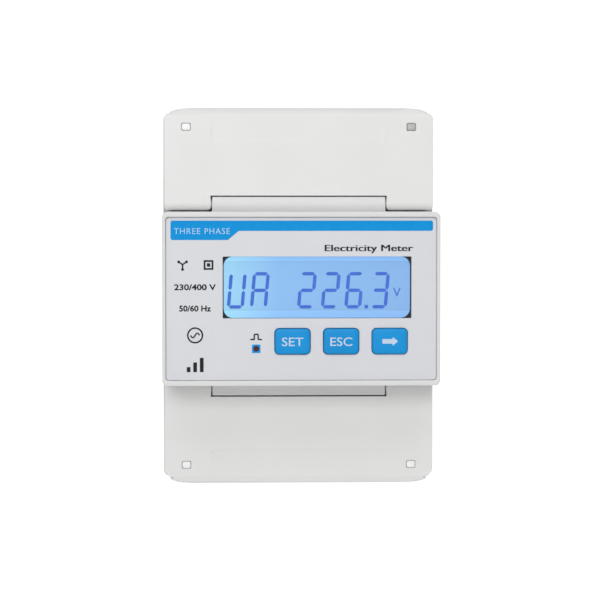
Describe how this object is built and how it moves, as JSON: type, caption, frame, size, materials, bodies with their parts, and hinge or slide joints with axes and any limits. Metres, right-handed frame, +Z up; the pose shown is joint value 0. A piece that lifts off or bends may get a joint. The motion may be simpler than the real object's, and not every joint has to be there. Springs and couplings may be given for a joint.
{
  "type": "smart electric meter",
  "caption": "Rail-mounted three-phase electricity meter with a backlit display, push keys, hinged terminal covers, screw terminals and a sprung rail clip.",
  "frame": {"origin": "middle of the face that rests on the rail, on the rail's centreline", "axes": "+X to the meter's right seen from the front, +Y back towards the wall, +Z up"},
  "size_m": [0.072, 0.0655, 0.1],
  "materials": {
    "case": "fine moulded texture, white flame-retardant plastic",
    "faceplate": "smooth satin printed plate",
    "cover": "fine moulded texture, warm white",
    "window": "clear polycarbonate",
    "key": "soft-edged moulded blue",
    "switch": "black moulded",
    "light_pipe": "clear dark red",
    "lamp": "red diffused lens",
    "display": "blue backlit display",
    "backlight": "lamp package",
    "white_trim": "white moulded",
    "board": "green solder mask",
    "winding": "taped ring core",
    "capacitor": "sleeved can",
    "varistor": "dipped epoxy",
    "terminal_block": "moulded, slightly duller than the case",
    "contact_brass": "tin-plated brass",
    "screw_steel": "zinc plated steel"
  },
  "bodies": {
    "case": {"front_housing": "case", "rear_housing": "case", "faceplate": "faceplate", "display_window": "window", "key_switches": "switch", "pulse_light_pipe": "light_pipe", "pulse_led": "lamp", "lcd_glass": "display", "lcd_frame": "white_trim", "backlight_guide": "display", "backlight_leds": "backlight", "display_board": "board", "power_board": "board", "board_header": "switch", "board_chips": "switch", "power_transformer": "screw_steel", "current_transformers": "winding", "smoothing_capacitors": "capacitor", "surge_varistors": "varistor", "upper_terminal_block": "terminal_block", "lower_terminal_block": "terminal_block", "upper_contact_bars": "contact_brass", "lower_contact_bars": "contact_brass", "housing_screws": "screw_steel", "rail_clip_spring": "screw_steel"},
    "upper_cover": {"upper_terminal_cover": "cover"},
    "lower_cover": {"lower_terminal_cover": "cover"},
    "set_button": {"set_key": "key", "set_switch_stem": "switch"},
    "escape_button": {"escape_key": "key", "escape_switch_stem": "switch"},
    "next_button": {"next_key": "key", "next_switch_stem": "switch"},
    "clip": {"rail_clip": "case"},
    "line_screw_1": {"line_screw_1": "screw_steel"},
    "line_clamp_1": {"line_clamp_1": "contact_brass"},
    "line_screw_2": {"line_screw_2": "screw_steel"},
    "line_clamp_2": {"line_clamp_2": "contact_brass"},
    "line_screw_3": {"line_screw_3": "screw_steel"},
    "line_clamp_3": {"line_clamp_3": "contact_brass"},
    "line_screw_4": {"line_screw_4": "screw_steel"},
    "line_clamp_4": {"line_clamp_4": "contact_brass"},
    "signal_screw_1": {"signal_screw_1": "screw_steel"},
    "signal_clamp_1": {"signal_clamp_1": "contact_brass"},
    "signal_screw_2": {"signal_screw_2": "screw_steel"},
    "signal_clamp_2": {"signal_clamp_2": "contact_brass"},
    "signal_screw_3": {"signal_screw_3": "screw_steel"},
    "signal_clamp_3": {"signal_clamp_3": "contact_brass"},
    "signal_screw_4": {"signal_screw_4": "screw_steel"},
    "signal_clamp_4": {"signal_clamp_4": "contact_brass"},
    "signal_screw_5": {"signal_screw_5": "screw_steel"},
    "signal_clamp_5": {"signal_clamp_5": "contact_brass"},
    "signal_screw_6": {"signal_screw_6": "screw_steel"},
    "signal_clamp_6": {"signal_clamp_6": "contact_brass"},
    "signal_screw_7": {"signal_screw_7": "screw_steel"},
    "signal_clamp_7": {"signal_clamp_7": "contact_brass"},
    "signal_screw_8": {"signal_screw_8": "screw_steel"},
    "signal_clamp_8": {"signal_clamp_8": "contact_brass"}
  },
  "joints": [
    {"name": "upper_cover_hinge", "type": "hinge", "parent": "case", "child": "upper_cover", "pos_m": [0, -0.0376, 0.0247], "axis": [1, 0, 0], "range_deg": [0, 90]},
    {"name": "lower_cover_hinge", "type": "hinge", "parent": "case", "child": "lower_cover", "pos_m": [0, -0.0376, -0.0247], "axis": [-1, 0, 0], "range_deg": [0, 90]},
    {"name": "set_press", "type": "slide", "parent": "case", "child": "set_button", "axis": [0, 1, 0], "range_m": [0, 0.0005], "stiffness_N_per_m": 1200, "springref_m": -0.0004},
    {"name": "escape_press", "type": "slide", "parent": "case", "child": "escape_button", "axis": [0, 1, 0], "range_m": [0, 0.0005], "stiffness_N_per_m": 1200, "springref_m": -0.0004},
    {"name": "next_press", "type": "slide", "parent": "case", "child": "next_button", "axis": [0, 1, 0], "range_m": [0, 0.0005], "stiffness_N_per_m": 1200, "springref_m": -0.0004},
    {"name": "rail_clip_slide", "type": "slide", "parent": "case", "child": "clip", "axis": [0, 0, -1], "range_m": [0, 0.0035], "stiffness_N_per_m": 1500, "springref_m": -0.001, "deforming": ["rail_clip_spring"]},
    {"name": "line_screw_1_turn", "type": "hinge", "parent": "case", "child": "line_screw_1", "pos_m": [-0.0255, -0.033, 0.042], "axis": [0, 1, 0], "range_deg": [0, 2160]},
    {"name": "line_clamp_1_rise", "type": "slide", "parent": "case", "child": "line_clamp_1", "axis": [0, -1, 0], "range_m": [0, 0.0042]},
    {"name": "line_screw_2_turn", "type": "hinge", "parent": "case", "child": "line_screw_2", "pos_m": [-0.0085, -0.033, 0.042], "axis": [0, 1, 0], "range_deg": [0, 2160]},
    {"name": "line_clamp_2_rise", "type": "slide", "parent": "case", "child": "line_clamp_2", "axis": [0, -1, 0], "range_m": [0, 0.0042]},
    {"name": "line_screw_3_turn", "type": "hinge", "parent": "case", "child": "line_screw_3", "pos_m": [0.0085, -0.033, 0.042], "axis": [0, 1, 0], "range_deg": [0, 2160]},
    {"name": "line_clamp_3_rise", "type": "slide", "parent": "case", "child": "line_clamp_3", "axis": [0, -1, 0], "range_m": [0, 0.0042]},
    {"name": "line_screw_4_turn", "type": "hinge", "parent": "case", "child": "line_screw_4", "pos_m": [0.0255, -0.033, 0.042], "axis": [0, 1, 0], "range_deg": [0, 2160]},
    {"name": "line_clamp_4_rise", "type": "slide", "parent": "case", "child": "line_clamp_4", "axis": [0, -1, 0], "range_m": [0, 0.0042]},
    {"name": "signal_screw_1_turn", "type": "hinge", "parent": "case", "child": "signal_screw_1", "pos_m": [-0.02975, -0.033, -0.042], "axis": [0, 1, 0], "range_deg": [0, 1800]},
    {"name": "signal_clamp_1_rise", "type": "slide", "parent": "case", "child": "signal_clamp_1", "axis": [0, -1, 0], "range_m": [0, 0.0025]},
    {"name": "signal_screw_2_turn", "type": "hinge", "parent": "case", "child": "signal_screw_2", "pos_m": [-0.02125, -0.033, -0.042], "axis": [0, 1, 0], "range_deg": [0, 1800]},
    {"name": "signal_clamp_2_rise", "type": "slide", "parent": "case", "child": "signal_clamp_2", "axis": [0, -1, 0], "range_m": [0, 0.0025]},
    {"name": "signal_screw_3_turn", "type": "hinge", "parent": "case", "child": "signal_screw_3", "pos_m": [-0.01275, -0.033, -0.042], "axis": [0, 1, 0], "range_deg": [0, 1800]},
    {"name": "signal_clamp_3_rise", "type": "slide", "parent": "case", "child": "signal_clamp_3", "axis": [0, -1, 0], "range_m": [0, 0.0025]},
    {"name": "signal_screw_4_turn", "type": "hinge", "parent": "case", "child": "signal_screw_4", "pos_m": [-0.00425, -0.033, -0.042], "axis": [0, 1, 0], "range_deg": [0, 1800]},
    {"name": "signal_clamp_4_rise", "type": "slide", "parent": "case", "child": "signal_clamp_4", "axis": [0, -1, 0], "range_m": [0, 0.0025]},
    {"name": "signal_screw_5_turn", "type": "hinge", "parent": "case", "child": "signal_screw_5", "pos_m": [0.00425, -0.033, -0.042], "axis": [0, 1, 0], "range_deg": [0, 1800]},
    {"name": "signal_clamp_5_rise", "type": "slide", "parent": "case", "child": "signal_clamp_5", "axis": [0, -1, 0], "range_m": [0, 0.0025]},
    {"name": "signal_screw_6_turn", "type": "hinge", "parent": "case", "child": "signal_screw_6", "pos_m": [0.01275, -0.033, -0.042], "axis": [0, 1, 0], "range_deg": [0, 1800]},
    {"name": "signal_clamp_6_rise", "type": "slide", "parent": "case", "child": "signal_clamp_6", "axis": [0, -1, 0], "range_m": [0, 0.0025]},
    {"name": "signal_screw_7_turn", "type": "hinge", "parent": "case", "child": "signal_screw_7", "pos_m": [0.02125, -0.033, -0.042], "axis": [0, 1, 0], "range_deg": [0, 1800]},
    {"name": "signal_clamp_7_rise", "type": "slide", "parent": "case", "child": "signal_clamp_7", "axis": [0, -1, 0], "range_m": [0, 0.0025]},
    {"name": "signal_screw_8_turn", "type": "hinge", "parent": "case", "child": "signal_screw_8", "pos_m": [0.02975, -0.033, -0.042], "axis": [0, 1, 0], "range_deg": [0, 1800]},
    {"name": "signal_clamp_8_rise", "type": "slide", "parent": "case", "child": "signal_clamp_8", "axis": [0, -1, 0], "range_m": [0, 0.0025]}
  ],
  "couplings": [
    {"joint": "line_screw_1_turn", "follows": "line_clamp_1_rise", "rad_per_m": 8976},
    {"joint": "line_screw_2_turn", "follows": "line_clamp_2_rise", "rad_per_m": 8976},
    {"joint": "line_screw_3_turn", "follows": "line_clamp_3_rise", "rad_per_m": 8976},
    {"joint": "line_screw_4_turn", "follows": "line_clamp_4_rise", "rad_per_m": 8976},
    {"joint": "signal_screw_1_turn", "follows": "signal_clamp_1_rise", "rad_per_m": 12566},
    {"joint": "signal_screw_2_turn", "follows": "signal_clamp_2_rise", "rad_per_m": 12566},
    {"joint": "signal_screw_3_turn", "follows": "signal_clamp_3_rise", "rad_per_m": 12566},
    {"joint": "signal_screw_4_turn", "follows": "signal_clamp_4_rise", "rad_per_m": 12566},
    {"joint": "signal_screw_5_turn", "follows": "signal_clamp_5_rise", "rad_per_m": 12566},
    {"joint": "signal_screw_6_turn", "follows": "signal_clamp_6_rise", "rad_per_m": 12566},
    {"joint": "signal_screw_7_turn", "follows": "signal_clamp_7_rise", "rad_per_m": 12566},
    {"joint": "signal_screw_8_turn", "follows": "signal_clamp_8_rise", "rad_per_m": 12566}
  ]
}
